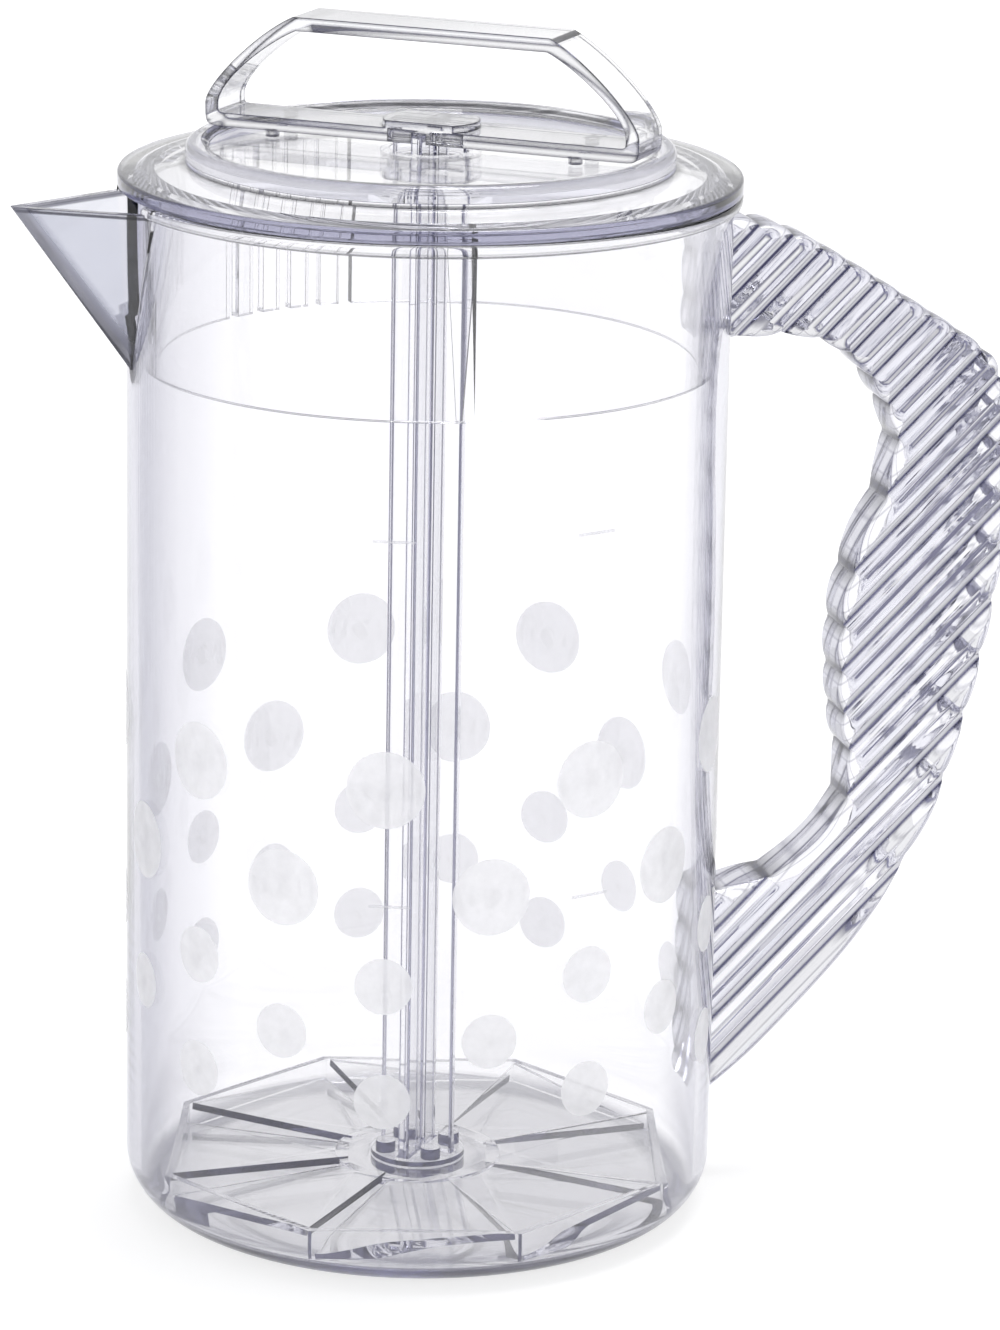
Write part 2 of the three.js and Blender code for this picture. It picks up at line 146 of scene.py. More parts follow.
# Plunger
PLUNGER_ANGLE = math.radians(-37)
ROD_SPAN = 17 * MM
ROD_FIN = 2.5 * MM
FIN_COUNT = 4
LOOP_MARGIN = 2.5 * MM
LOOP_HEIGHT = 25 * MM
LOOP_SHOULDER = 20.5 * MM
LOOP_DEPTH = 14 * MM
LOOP_STRAP = 3 * MM
LOOP_FOOT_ROUNDING = 5 * MM
LOOP_EDGE_ROUNDING = 0.7 * MM
LOOP_SIDE_SHARES = [(1, 0.36), (0.76, 0.84)]
LOOP_KNEE_SHARE = 0.2
FOOT_INSET = 15 * MM
FOOT_RADIUS = 1.5 * MM
BOSS_WALL = 2 * MM
BOSS_RISE = 1.6 * MM
SOCKET_DEPTH = 2 * MM
DISC_CLEARANCE = 3.3 * MM
DISC_RIM_WALL = 1.8 * MM
DISC_RIM_HEIGHT = 6 * MM
BLADE_COUNT = 8
BLADE_THICKNESS = 1.6 * MM
BLADE_SLOT = 1.2 * MM
BLADE_SIDES = (2, 4)
HUB_RADIUS = 18.5 * MM
HUB_PLATE = 1.8 * MM
HUB_BOSS_HEIGHT = 5 * MM
PEG_RADIUS = 2.2 * MM
PEG_INSET = 0.6 * MM
PEG_RISE = 2.5 * MM
DISC_SOFTENING = 0.35 * MM
ROD_SOFTENING = 0.5 * MM

# Frosted dots: two kinds of column take turns round the wall
DOT_COLUMNS = 9
DOT_SKIN = 0.08 * MM
DOT_GAP = DOT_SKIN / 8
DOT_SETS = [
    (math.radians(-151), [(112.5 * MM, 16.8 * MM), (69.3 * MM, 12.4 * MM), (43.6 * MM, 12.2 * MM)]),
    (math.radians(-131), [(89 * MM, 16.8 * MM), (57 * MM, 12 * MM)]),
]

# Graduation marks: where each quart line lies, and the two columns that carry it
MARK_LEVELS = [87 * MM, 166 * MM]
MARK_ANGLES = [math.radians(-110), math.radians(-71)]
MARK_LENGTH = 9 * MM
MARK_WIDTH = 0.6 * MM

# Levels and radii that follow
FLANGE_UNDERSIDE = BODY_TOP + SEAT_GAP
FLANGE_TOP = FLANGE_UNDERSIDE + FLANGE_HEIGHT
LID_SHOULDER = FLANGE_TOP + LID_SHOULDER_RISE
DISH_TOP = LID_TOP - LID_DISH_DEPTH
DISH_UNDERSIDE = DISH_TOP - LID_THICKNESS
SKIRT_RADIUS = INNER_RADIUS - SKIRT_SLACK
SKIRT_INSIDE = SKIRT_RADIUS - SKIRT_WALL
LID_TOP_RADIUS = SKIRT_RADIUS - LID_STEP
COLLAR_INSIDE = math.hypot(ROD_SPAN / 2, ROD_FIN / 2) + RUNNING_GAP
LOOP_UNDERSIDE = LOOP_TOP - LOOP_HEIGHT
LOOP_SPAN = 2 * (LID_TOP_RADIUS - LOOP_MARGIN)
BOSS_RADIUS = ROD_SPAN / 2 + BOSS_WALL
DISC_RADIUS = INNER_RADIUS - DISC_CLEARANCE
HANDLE_CENTRE_X = BODY_RADIUS + HANDLE_REACH / 2
HANDLE_CENTRE_Z = HANDLE_FOOT + HANDLE_HEIGHT / 2
RIDGE_RADIUS = ((RIDGE_SPACING / 2) ** 2 + RIDGE_DEPTH ** 2) / (2 * RIDGE_DEPTH)
BLADE_MIDDLE = DISC_BOTTOM + DISC_RIM_HEIGHT / 2
BLADE_RISE = DISC_RIM_HEIGHT - BLADE_THICKNESS
PEG_PLACE = BOSS_RADIUS - PEG_RADIUS - PEG_INSET


# Mesh helpers

def add_object(name, mesh):
    obj = bpy.data.objects.new(name, mesh)
    bpy.context.scene.collection.objects.link(obj)
    return obj


def mesh_object(name, vertices, faces):
    mesh = bpy.data.meshes.new(name)
    mesh.from_pydata(vertices, [], faces)
    bm = bmesh.new()
    bm.from_mesh(mesh)
    bmesh.ops.remove_doubles(bm, verts=bm.verts, dist=SAME_POINT)
    bmesh.ops.recalc_face_normals(bm, faces=bm.faces)
    bm.to_mesh(mesh)
    bm.free()
    return add_object(name, mesh)


def arc(centre_x, centre_y, radius, start, end, steps=ARC_STEPS):
    """Points of a circular arc, end points included."""
    angles = [start + (end - start) * step / steps for step in range(steps + 1)]
    return [(centre_x + radius * math.cos(a), centre_y + radius * math.sin(a)) for a in angles]


def revolve(name, profile, steps=TURN_STEPS):
    """Closed skin of a profile of (radius, height) turned about Z."""
    vertices, faces, rows = [], [], []
    for radius, height in profile:
        if radius == 0:
            rows.append([len(vertices)] * steps)
            vertices.append((0, 0, height))
            continue
        rows.append(list(range(len(vertices), len(vertices) + steps)))
        for step in range(steps):
            angle = 2 * math.pi * step / steps
            vertices.append((radius * math.cos(angle), radius * math.sin(angle), height))
    pairs = list(zip(rows, rows[1:]))
    if profile[0][0] > 0:
        pairs.append((rows[-1], rows[0]))
    for low, high in pairs:
        for step in range(steps):
            after = (step + 1) % steps
            corners = [low[step], low[after], high[after], high[step]]
            face = list(dict.fromkeys(corners))
            if len(face) > 2:
                faces.append(face)
    return mesh_object(name, vertices, faces)


def loft(name, rings):
    """Closed skin through rings of equal count, with a face over both ends."""
    count = len(rings[0])
    vertices = [point for ring in rings for point in ring]
    faces = [list(range(count))[::-1], [(len(rings) - 1) * count + i for i in range(count)]]
    for level in range(len(rings) - 1):
        for i in range(count):
            a, b = level * count + i, level * count + (i + 1) % count
            faces.append([a, b, b + count, a + count])
    return mesh_object(name, vertices, faces)


def prism(name, outline, bottom, top):
    """A straight-sided solid on a plan outline."""
    return loft(name, [[(x, y, z) for x, y in outline] for z in (bottom, top)])


def cylinder(name, radius, bottom, top, steps=TURN_STEPS // 2):
    outline = [(radius * math.cos(a), radius * math.sin(a))
               for a in (2 * math.pi * step / steps for step in range(steps))]
    return prism(name, outline, bottom, top)


def block(name, x_size, y_size, bottom, top):
    x, y = x_size / 2, y_size / 2
    return prism(name, [(-x, -y), (x, -y), (x, y), (-x, y)], bottom, top)


def drawn_in(outline, inset):
    """A counter-clockwise outline moved inwards along its corner bisectors.

    The inset is one distance, or a list with one for each point.
    """
    moved = []
    insets = inset if isinstance(inset, list) else [inset] * len(outline)
    for i, ((x, y), distance) in enumerate(zip(outline, insets)):
        before, after = Vector(outline[i - 1]), Vector(outline[(i + 1) % len(outline)])
        here = Vector((x, y))
        first, second = (here - before).normalized(), (after - here).normalized()
        normal = Vector((-(first.y + second.y), first.x + second.x)).normalized()
        reach = distance / max(normal.dot(Vector((-first.y, first.x))), SHARPEST_TURN)
        moved.append(tuple(here + normal * reach))
    return moved


def slab(name, outline, thickness, rounding, steps=ARC_STEPS // 2):
    """A counter-clockwise outline in X and Z given a thickness along Y, with rounded edges."""
    levels = []
    for step in range(steps + 1):
        turn = math.pi / 2 * step / steps
        levels.append((rounding * (1 - math.sin(turn)), thickness / 2 - rounding * (1 - math.cos(turn))))
    levels += [(inset, -side) for inset, side in reversed(levels)]
    return loft(name, [[(x, y, z) for x, z in drawn_in(outline, inset)] for inset, y in levels])


def place(obj, matrix):
    obj.data.transform(matrix)
    return obj


def combine(target, tool, operation):
    """Joins, cuts or intersects target with tool, which is used up."""
    modifier = target.modifiers.new("combine", "BOOLEAN")
    modifier.object = tool
    modifier.operation = operation
    modifier.solver = "EXACT"
    evaluated = target.evaluated_get(bpy.context.evaluated_depsgraph_get())
    made = bpy.data.meshes.new_from_object(evaluated)
    target.modifiers.clear()
    old, target.data = target.data, made
    bpy.data.meshes.remove(old)
    tool_mesh = tool.data
    bpy.data.objects.remove(tool)
    bpy.data.meshes.remove(tool_mesh)
    return target


def smooth(obj, angle=SHARP_ANGLE):
    """Smooth faces, with edges kept sharp beyond the angle and where the material changes."""
    bm = bmesh.new()
    bm.from_mesh(obj.data)
    bmesh.ops.remove_doubles(bm, verts=bm.verts, dist=SAME_POINT)
    bmesh.ops.dissolve_degenerate(bm, edges=bm.edges, dist=SAME_POINT)
    for face in bm.faces:
        face.smooth = True
    for edge in bm.edges:
        alike = len({face.material_index for face in edge.link_faces}) == 1
        edge.smooth = len(edge.link_faces) == 2 and alike and edge.calc_face_angle(0) < angle
    bm.to_mesh(obj.data)
    bm.free()
    return obj


def make_slots(obj, count=2):
    """Room for the piece's own material, the one of its edges and further ones."""
    while len(obj.data.materials) < count:
        obj.data.materials.append(None)
    return obj


def soften(obj, width):
    """A small rounding along every sharp edge, made into mesh, whose faces take the second material."""
    make_slots(obj)
    modifier = obj.modifiers.new("soften", "BEVEL")
    modifier.width = width
    modifier.segments = 2
    modifier.material = 1
    modifier.limit_method = "ANGLE"
    modifier.angle_limit = SHARP_ANGLE
    modifier.use_clamp_overlap = True
    made = bpy.data.meshes.new_from_object(obj.evaluated_get(bpy.context.evaluated_depsgraph_get()))
    obj.modifiers.clear()
    old, obj.data = obj.data, made
    bpy.data.meshes.remove(old)
    return obj


# Pitcher body

def body_outside():
    rim_low = BODY_TOP - RIM_HEIGHT
    rounding = RIM_ROUNDING
    profile = [
        (0, 0),
        *arc(BODY_RADIUS - FOOT_ROUNDING, FOOT_ROUNDING, FOOT_ROUNDING, -math.pi / 2, 0, 2 * ARC_STEPS),
        (BODY_RADIUS, rim_low),
        *arc(RIM_RADIUS - rounding, rim_low + rounding, rounding, -math.pi / 2, 0, ARC_STEPS // 2),
        *arc(RIM_RADIUS - rounding, BODY_TOP - rounding, rounding, 0, math.pi / 2, ARC_STEPS // 2),
        (0, BODY_TOP),
    ]
    return revolve("pitcher_shell", profile)


def body_inside():
    centre = FLOOR + FLOOR_ROUNDING
    profile = [
        (0, FLOOR),
        *arc(INNER_RADIUS - FLOOR_ROUNDING, centre, FLOOR_ROUNDING, -math.pi / 2, 0),
        (INNER_RADIUS, BODY_TOP + OVERRUN),
        (0, BODY_TOP + OVERRUN),
    ]
    return revolve("cut", profile)


def spout_wedge(name, reach, half_width, tip_radius, foot, top):
    """A beak that narrows to a point at the foot of its keel."""
    root_x = -math.sqrt(BODY_RADIUS ** 2 - half_width ** 2)
    tip_x = -(BODY_RADIUS + reach)
    slope = math.atan2(half_width, root_x - tip_x)
    tip_centre = tip_x + tip_radius / math.sin(slope)
    tip = arc(tip_centre, 0, tip_radius, math.pi / 2 + slope, 3 * math.pi / 2 - slope)
    plan = [(root_x, half_width), *tip, (root_x, -half_width)]

    def ring(share, height):
        points = [(-BODY_RADIUS + (x + BODY_RADIUS) * share, y * share, height) for x, y in plan]
        return [(-BODY_RADIUS / 2, 0, height), *points]

    rings = []
    for step in range(SPOUT_STEPS + 1):
        share = SPOUT_FOOT_SHARE + (1 - SPOUT_FOOT_SHARE) * step / SPOUT_STEPS
        rings.append(ring(share, foot + (top - foot) * (step / SPOUT_STEPS)))
    return loft(name, rings)


def pitcher_shell():
    foot = BODY_TOP - SPOUT_DEPTH
    top = BODY_TOP - SPOUT_DROP
    beak = spout_wedge("beak", SPOUT_REACH, SPOUT_HALF_WIDTH, SPOUT_TIP_RADIUS, foot, top)
    channel_foot = foot + KEEL_WALL
    channel_top = BODY_TOP + OVERRUN
    grow = (channel_top - channel_foot) / (top - channel_foot)
    reach = (SPOUT_REACH - KEEL_WALL) * grow
    half_width = (SPOUT_HALF_WIDTH - SPOUT_WALL) * grow
    channel = spout_wedge("channel", reach, half_width, SPOUT_TIP_RADIUS / 2, channel_foot, channel_top)
    shell = combine(body_outside(), beak, "UNION")
    shell = combine(shell, body_inside(), "DIFFERENCE")
    return smooth(combine(shell, channel, "DIFFERENCE"))


# Side handle

def spline(points, steps):
    """Points of a smooth curve through the given points."""
    made = []
    last = len(points) - 1
    for step in range(steps + 1):
        at = last * step / steps
        i = min(int(at), last - 1)
        t = at - i
        p0, p1, p2, p3 = (Vector(points[min(max(k, 0), last)]) for k in (i - 1, i, i + 1, i + 2))
        v0, v1 = (p2 - p0) / 2, (p3 - p1) / 2
        made.append(tuple(
            (2 * p1 - 2 * p2 + v0 + v1) * t ** 3 + (-3 * p1 + 3 * p2 - 2 * v0 - v1) * t ** 2 + v0 * t + p1
        ))
    return made


def groove_depth(x, z):
    """How deep the fluted surface lies under its crests at a point."""
    across = (x - HANDLE_CENTRE_X) * math.sin(RIDGE_ANGLE) - (z - HANDLE_CENTRE_Z) * math.cos(RIDGE_ANGLE)
    off_crest = (across + RIDGE_OFFSET) % RIDGE_SPACING - RIDGE_SPACING / 2
    return RIDGE_RADIUS - math.sqrt(RIDGE_RADIUS ** 2 - off_crest ** 2)


def handle_outline():
    outline = []
    for shares in (OUTER_EDGE_SHARES, INNER_EDGE_SHARES):
        points = [(BODY_RADIUS + HANDLE_REACH * x, HANDLE_FOOT + HANDLE_HEIGHT * z) for x, z in shares]
        edge = spline(points, EDGE_STEPS)
        root_x = BODY_RADIUS - HANDLE_ROOT
        outline += [(root_x, edge[0][1]), *edge, (root_x, edge[-1][1])]
    outline = outline[::-1]
    insets = []
    for x, z in outline:
        fade = min(max((x - BODY_RADIUS) / HANDLE_ROOT, 0), 1)
        insets.append(EDGE_FLUTE_SHARE * groove_depth(x, z) * fade)
    return drawn_in(outline, insets)


def ridge_cutter(side):
    """Everything beyond a row of rounded ridges on one broad face of the handle."""
    reach = HANDLE_HEIGHT + HANDLE_REACH
    ridges_each_way = math.ceil(reach / 2 / RIDGE_SPACING)
    crest = HANDLE_THICKNESS / 2
    outline = []
    for ridge in range(-ridges_each_way, ridges_each_way):
        middle = (ridge + 1 / 2) * RIDGE_SPACING - RIDGE_OFFSET
        for step in range(2 * RIDGE_STEPS):
            share = step / RIDGE_STEPS - 1
            fall = max(abs(share) - RIDGE_CREST_SHARE, 0) / (1 - RIDGE_CREST_SHARE)
            outline.append((middle + share * RIDGE_SPACING / 2, crest - RIDGE_DEPTH * fall ** RIDGE_POWER))
    edge = ridges_each_way * RIDGE_SPACING - RIDGE_OFFSET
    outline += [(edge, crest - RIDGE_DEPTH), (edge, crest + OVERRUN), (outline[0][0], crest + OVERRUN)]
    cutter = loft("cut", [[(x, y * side, z) for x, y in outline] for z in (-reach / 2, reach / 2)])
    turn = Matrix.Rotation(math.pi / 2 - RIDGE_ANGLE, 4, "Y")
    return place(cutter, Matrix.Translation((HANDLE_CENTRE_X, 0, HANDLE_CENTRE_Z)) @ turn)


def ribbed_handle():
    handle = slab("ribbed_handle", handle_outline(), HANDLE_THICKNESS, HANDLE_ROUNDING)
    for side in (1, -1):
        handle = combine(handle, ridge_cutter(side), "DIFFERENCE")
    wall = cylinder("cut", BODY_RADIUS + SEAT_GAP, 0, BODY_TOP, TURN_STEPS)
    return smooth(combine(handle, wall, "DIFFERENCE"), RIDGE_SHARP_ANGLE)


# Lid

def lid_profile():
    outer, inner = LID_TOP_RADIUS, LID_TOP_RADIUS - LID_RING_WIDTH
    under = outer - LID_THICKNESS
    ring, flange = LID_RING_ROUNDING, FLANGE_ROUNDING
    collar_foot = DISH_UNDERSIDE - COLLAR_DEPTH
    return [
        (COLLAR_INSIDE, DISH_TOP),
        (COLLAR_INSIDE, collar_foot),
        (COLLAR_INSIDE + COLLAR_WALL, collar_foot),
        (COLLAR_INSIDE + COLLAR_WALL, DISH_UNDERSIDE),
        (under, DISH_UNDERSIDE),
        (under, LID_SHOULDER - LID_THICKNESS),
        (SKIRT_INSIDE, FLANGE_TOP - LID_THICKNESS),
        (SKIRT_INSIDE, LID_FOOT),
        (SKIRT_RADIUS, LID_FOOT),
        (SKIRT_RADIUS, FLANGE_UNDERSIDE),
        (RIM_RADIUS, FLANGE_UNDERSIDE),
        *arc(RIM_RADIUS - flange, FLANGE_TOP - flange, flange, 0, math.pi / 2, ARC_STEPS // 2),
        (outer, LID_SHOULDER),
        *arc(outer - ring, LID_TOP - ring, ring, 0, math.pi / 2),
        (inner + LID_DISH_DEPTH, LID_TOP),
        (inner, DISH_TOP),
    ]


def lid_shell():
    lid = revolve("lid_shell", lid_profile())
    half = INDEX_RIB_WIDTH / 2
    foot = half * INDEX_RIB_FOOT_SHARE
    inside = SKIRT_INSIDE - INDEX_RIB_PROUD
    outside = SKIRT_INSIDE + SKIRT_WALL / 2
    rings = [[(inside, -w, z), (outside, -w, z), (outside, w, z), (inside, w, z)]
             for w, z in ((foot, LID_FOOT), (half, FLANGE_UNDERSIDE))]
    rib = place(loft("rib", rings), Matrix.Rotation(INDEX_RIB_ANGLE, 4, "Z"))
    lid = combine(lid, rib, "UNION")
    slot_top = FLANGE_UNDERSIDE - SLOT_TOP
    for index in range(SLOT_COUNT):
        angle = SLOT_MIDDLE + (index - (SLOT_COUNT - 1) / 2) * SLOT_STEP
        slot = block("cut", SKIRT_WALL + 2 * OVERRUN, SLOT_WIDTH, LID_FOOT - OVERRUN, slot_top)
        slot = place(slot, Matrix.Translation(((SKIRT_RADIUS + SKIRT_INSIDE) / 2, 0, 0)))
        lid = combine(lid, place(slot, Matrix.Rotation(angle, 4, "Z")), "DIFFERENCE")
    make_slots(lid)
    # The skirt's foot takes the second material, dark with painted shade
    for polygon in lid.data.polygons:
        if polygon.center.z < LID_FOOT + SEAT_GAP:
            polygon.material_index = 1
    return smooth(soften(lid, LID_SOFTENING))


# Plunger, made with its loop along X and then turned to its place

def bezier(p0, p1, p2, p3, steps=ARC_STEPS):
    made = []
    for step in range(1, steps + 1):
        t = step / steps
        s = 1 - t
        weights = (s ** 3, 3 * s * s * t, 3 * s * t * t, t ** 3)
        made.append(tuple(sum(w * p[k] for w, p in zip(weights, (p0, p1, p2, p3))) for k in (0, 1)))
    return made


def loop_outline(inset):
    half = LOOP_SPAN / 2 - inset
    top = LOOP_HEIGHT - inset
    knee = LOOP_SPAN / 2 - LOOP_SHOULDER - inset * LOOP_KNEE_SHARE
    corner = LOOP_FOOT_ROUNDING - inset
    lower, upper = ((half * x, inset + (top - inset) * z) for x, z in LOOP_SIDE_SHARES)
    foot, bend, side = (half - corner, inset), (half, inset), (half, inset + corner)
    right = [foot, *bezier(foot, bend, bend, side), *bezier(side, lower, upper, (knee, top), 2 * ARC_STEPS)]
    points = right + [(-x, z) for x, z in reversed(right)]
    return [(x, z + LOOP_UNDERSIDE) for x, z in points]


def cross(name, span, fin, bottom, top):
    return combine(block(name, span, fin, bottom, top), block("arm", fin, span, bottom, top), "UNION")


def socket(bottom, top):
    return cross("cut", ROD_SPAN + 2 * SEAT_GAP, ROD_FIN + 2 * SEAT_GAP, bottom, top)


def plunger_loop():
    loop = slab("plunger_loop", loop_outline(0), LOOP_DEPTH, 0, 1)
    hole = slab("cut", loop_outline(LOOP_STRAP), LOOP_DEPTH + 2 * OVERRUN, 0, 1)
    loop = combine(loop, hole, "DIFFERENCE")
    boss_top = LOOP_UNDERSIDE + LOOP_STRAP + BOSS_RISE
    boss = cylinder("boss", BOSS_RADIUS, LOOP_UNDERSIDE + LOOP_STRAP / 2, boss_top)
    boss = combine(boss, block("cut", 2 * BOSS_RADIUS, LOOP_DEPTH, LOOP_UNDERSIDE, boss_top), "INTERSECT")
    loop = combine(loop, boss, "UNION")
    reach = LOOP_SPAN / 2 - FOOT_INSET
    side = LOOP_DEPTH / 2 - LOOP_EDGE_ROUNDING - FOOT_RADIUS
    for x, y in ((reach, side), (reach, -side), (-reach, side), (-reach, -side)):
        foot = cylinder("foot", FOOT_RADIUS, DISH_TOP + SEAT_GAP, LOOP_UNDERSIDE + LOOP_STRAP / 2, PIN_STEPS)
        loop = combine(loop, place(foot, Matrix.Translation((x, y, 0))), "UNION")
    rod_top = LOOP_UNDERSIDE + SOCKET_DEPTH
    loop = combine(loop, socket(LOOP_UNDERSIDE - OVERRUN, rod_top + SEAT_GAP), "DIFFERENCE")
    return place(smooth(soften(loop, LOOP_EDGE_ROUNDING)), Matrix.Rotation(PLUNGER_ANGLE, 4, "Z"))


def plunger_rod():
    rod = cross("cross_rod", ROD_SPAN, ROD_FIN, DISC_BOTTOM, ROD_TOP)
    return place(smooth(soften(rod, ROD_SOFTENING)), Matrix.Rotation(PLUNGER_ANGLE, 4, "Z"))


def octagon(radius):
    angles = [2 * math.pi * corner / BLADE_COUNT for corner in range(BLADE_COUNT)]
    return [(radius * math.cos(a), radius * math.sin(a)) for a in angles]


def blade(index):
    """One flat pitched blade between two corners of the rim."""
    sector = 2 * math.pi / BLADE_COUNT
    outer = (DISC_RADIUS - DISC_RIM_WALL / 2) * math.cos(sector / 2)
    inner = (HUB_RADIUS - DISC_RIM_WALL) * math.cos(sector / 2)
    half_slot = BLADE_SLOT / 2 / math.cos(sector / 2)
    outer_half, inner_half = (reach * math.tan(sector / 2) - half_slot for reach in (outer, inner))
    outline = [(inner, -inner_half), (outer, -outer_half), (outer, outer_half), (inner, inner_half)]
    made = make_slots(prism("blade", outline, -BLADE_THICKNESS / 2, BLADE_THICKNESS / 2), 3)
    # Its two ends take the second material, dark with painted shade
    for side in BLADE_SIDES:
        made.data.polygons[side].material_index = 1
    pitch = Matrix.Rotation(math.atan2(BLADE_RISE / 2, outer_half), 4, "X")
    turn = Matrix.Rotation((index + 1 / 2) * sector, 4, "Z")
    return place(made, turn @ Matrix.Translation((0, 0, BLADE_MIDDLE)) @ pitch)


def shade_sides(made):
    """Gives the sides of a prism the third material, which is painted shade."""
    make_slots(made, 3)
    for polygon in list(made.data.polygons)[2:]:
        polygon.material_index = 2
    return made


def bladed_disc():
    rim_top = DISC_BOTTOM + DISC_RIM_HEIGHT
    disc = make_slots(prism("bladed_disc", octagon(DISC_RADIUS), DISC_BOTTOM, rim_top), 3)
    hole = prism("cut", octagon(DISC_RADIUS - DISC_RIM_WALL), DISC_BOTTOM - OVERRUN, rim_top + OVERRUN)
    disc = combine(disc, hole, "DIFFERENCE")
    hub_bottom = BLADE_MIDDLE - HUB_PLATE / 2
    disc = combine(disc, cylinder("hub", HUB_RADIUS, hub_bottom, hub_bottom + HUB_PLATE), "UNION")
    boss_top = DISC_BOTTOM + HUB_BOSS_HEIGHT
    disc = combine(disc, shade_sides(cylinder("boss", BOSS_RADIUS, DISC_BOTTOM, boss_top)), "UNION")
    for index in range(BLADE_COUNT):
        disc = combine(disc, blade(index), "UNION")
    for index in range(FIN_COUNT):
        angle = (index + 1 / 2) * 2 * math.pi / FIN_COUNT
        peg = shade_sides(cylinder("peg", PEG_RADIUS, DISC_BOTTOM, boss_top + PEG_RISE, PIN_STEPS))
        peg = place(peg, Matrix.Translation((PEG_PLACE * math.cos(angle), PEG_PLACE * math.sin(angle), 0)))
        disc = combine(disc, peg, "UNION")
    disc = combine(disc, socket(DISC_BOTTOM - OVERRUN, boss_top + PEG_RISE + OVERRUN), "DIFFERENCE")
    return place(smooth(soften(disc, DISC_SOFTENING)), Matrix.Rotation(PLUNGER_ANGLE, 4, "Z"))


# Marks on the wall

def wall_patches(name, outlines):
    """Thin closed skins on the outer wall. An outline's points are distances along it and heights."""
    vertices, faces = [], []
    for outline in outlines:
        count = len(outline)
        first = len(vertices)
        middle = (sum(s for s, z in outline) / count, sum(z for s, z in outline) / count)
        for radius in (BODY_RADIUS + DOT_GAP, BODY_RADIUS + DOT_SKIN):
            for share in (1, 2 / 3, 1 / 3):
                for s, z in outline:
                    angle = (middle[0] + (s - middle[0]) * share) / BODY_RADIUS
                    height = middle[1] + (z - middle[1]) * share
                    vertices.append((radius * math.cos(angle), radius * math.sin(angle), height))
        inner, outer = first, first + 3 * count
        for i in range(count):
            j = (i + 1) % count
            faces.append([inner + i, inner + j, outer + j, outer + i])
            for base in (inner, outer):
                for ring in (0, count):
                    low, high = base + ring, base + ring + count
                    faces.append([low + i, low + j, high + j, high + i])
        for base in (inner, outer):
            faces.append([base + 2 * count + i for i in range(count)])
    return mesh_object(name, vertices, faces)


def frosted_dots():
    outlines = []
    for start, rows in DOT_SETS:
        for column in range(DOT_COLUMNS):
            along = (start + column * 2 * math.pi / DOT_COLUMNS) * BODY_RADIUS
            for height, diameter in rows:
                outlines.append(arc(along, height, diameter / 2, 0, 2 * math.pi, 4 * ARC_STEPS)[:-1])
    return smooth(wall_patches("frosted_dots", outlines))


def graduation_marks():
    outlines = []
    for level in MARK_LEVELS:
        for angle in MARK_ANGLES:
            middle = angle * BODY_RADIUS
            radius = MARK_WIDTH / 2
            reach = MARK_LENGTH / 2 - radius
            left = arc(middle - reach, level, radius, math.pi / 2, 3 * math.pi / 2)
            right = arc(middle + reach, level, radius, -math.pi / 2, math.pi / 2)
            outlines.append(left + right)
    return smooth(wall_patches("graduation_marks", outlines))


# Materials

def new_material(name):
    material = bpy.data.materials.new(name)
    material.use_nodes = True
    tree = material.node_tree
    shader = tree.nodes["Principled BSDF"]
    return material, tree, shader


ABSORPTION_TINT = (0.62, 0.62, 0.72, 1)
PLASTIC_IOR = 1.49
CLEAR = (0.985, 0.985, 0.985, 1)
PALE = (0.95, 0.948, 0.958, 1)
# Painted shade that makes the spout greyer than the rest of the wall
SPOUT_SHADE = (0.9, 0.91, 0.94, 1)
# The grey of the painted shade on the rod's rounded edges
ROD_EDGE_SHADE = (0.5, 0.5, 0.6, 1)
# LAVENDER and DEEP_LAVENDER are the tint where a surface turns away, and also painted shade under the masks
# and in the dark edge and side materials
LAVENDER = (0.16, 0.16, 0.26, 1)
DEEP_LAVENDER = (0.04, 0.04, 0.09, 1)
# A near black for painted shade: the dark lines along edges, the bead's foot, the keel, the dish and the
# shoulder, the handle's narrow sides and the darkest rounded edges
PAINTED_SHADE_BLACK = (0.003, 0.003, 0.008, 1)
WAVINESS = 0.02 * MM
WAVE_SCALE = 28
HAZE_SCALE = 60
HAZE_RANGE = (0.45, 0.8)
ROUGHNESS_RANGE = (0.005, 0.05)
FROST_IOR = 1.2
FROST_SCALE = 220
FROST_RANGE = (0.3, 0.7)
FROST_GRAIN_SCALE = 3000
FROST_GRAIN = 0.02 * MM

# How alike the rounded and the true normal are where a painted dark line of shade along an edge starts and
# where it is full
EDGE_LIKENESS = (0.985, 0.88)

# How strong the painted dark lines of shade on a ridge are from its crest, at 0, to the groove, at 1
RIDGE_STOPS = [(0.34, 0), (0.42, 0.6), (0.5, 0), (0.84, 0.05), (0.95, 1)]

# The painted shade on the handle's narrow sides: where off the crest a bead starts and is full, how much of
# the normal points to a broad face where the side starts and is full, and how dark the painted shade on the
# beads and on the side itself is
BEAD_RANGE = (0.4, 0.85)
SIDE_RANGE = (0.6, 0.2)
BEAD_STRENGTH = 0.9
SIDE_STRENGTH = 0.08


def tint_towards(tree, colour, factor, tint):
    """A colour socket that turns to the tint where the factor is one."""
    mix = tree.nodes.new("ShaderNodeMix")
    mix.data_type = "RGBA"
    mix.inputs["B"].default_value = tint
    tree.links.new(factor, mix.inputs["Factor"])
    tree.links.new(colour, mix.inputs["A"])
    return mix.outputs["Result"]


def vector_step(tree, operation, source, operand):
    step = tree.nodes.new("ShaderNodeVectorMath")
    step.operation = operation
    tree.links.new(source, step.inputs[0])
    if operand is not None:
        step.inputs[1].default_value = operand
    return step.outputs["Value" if operation in ("DOT_PRODUCT", "LENGTH") else "Vector"]


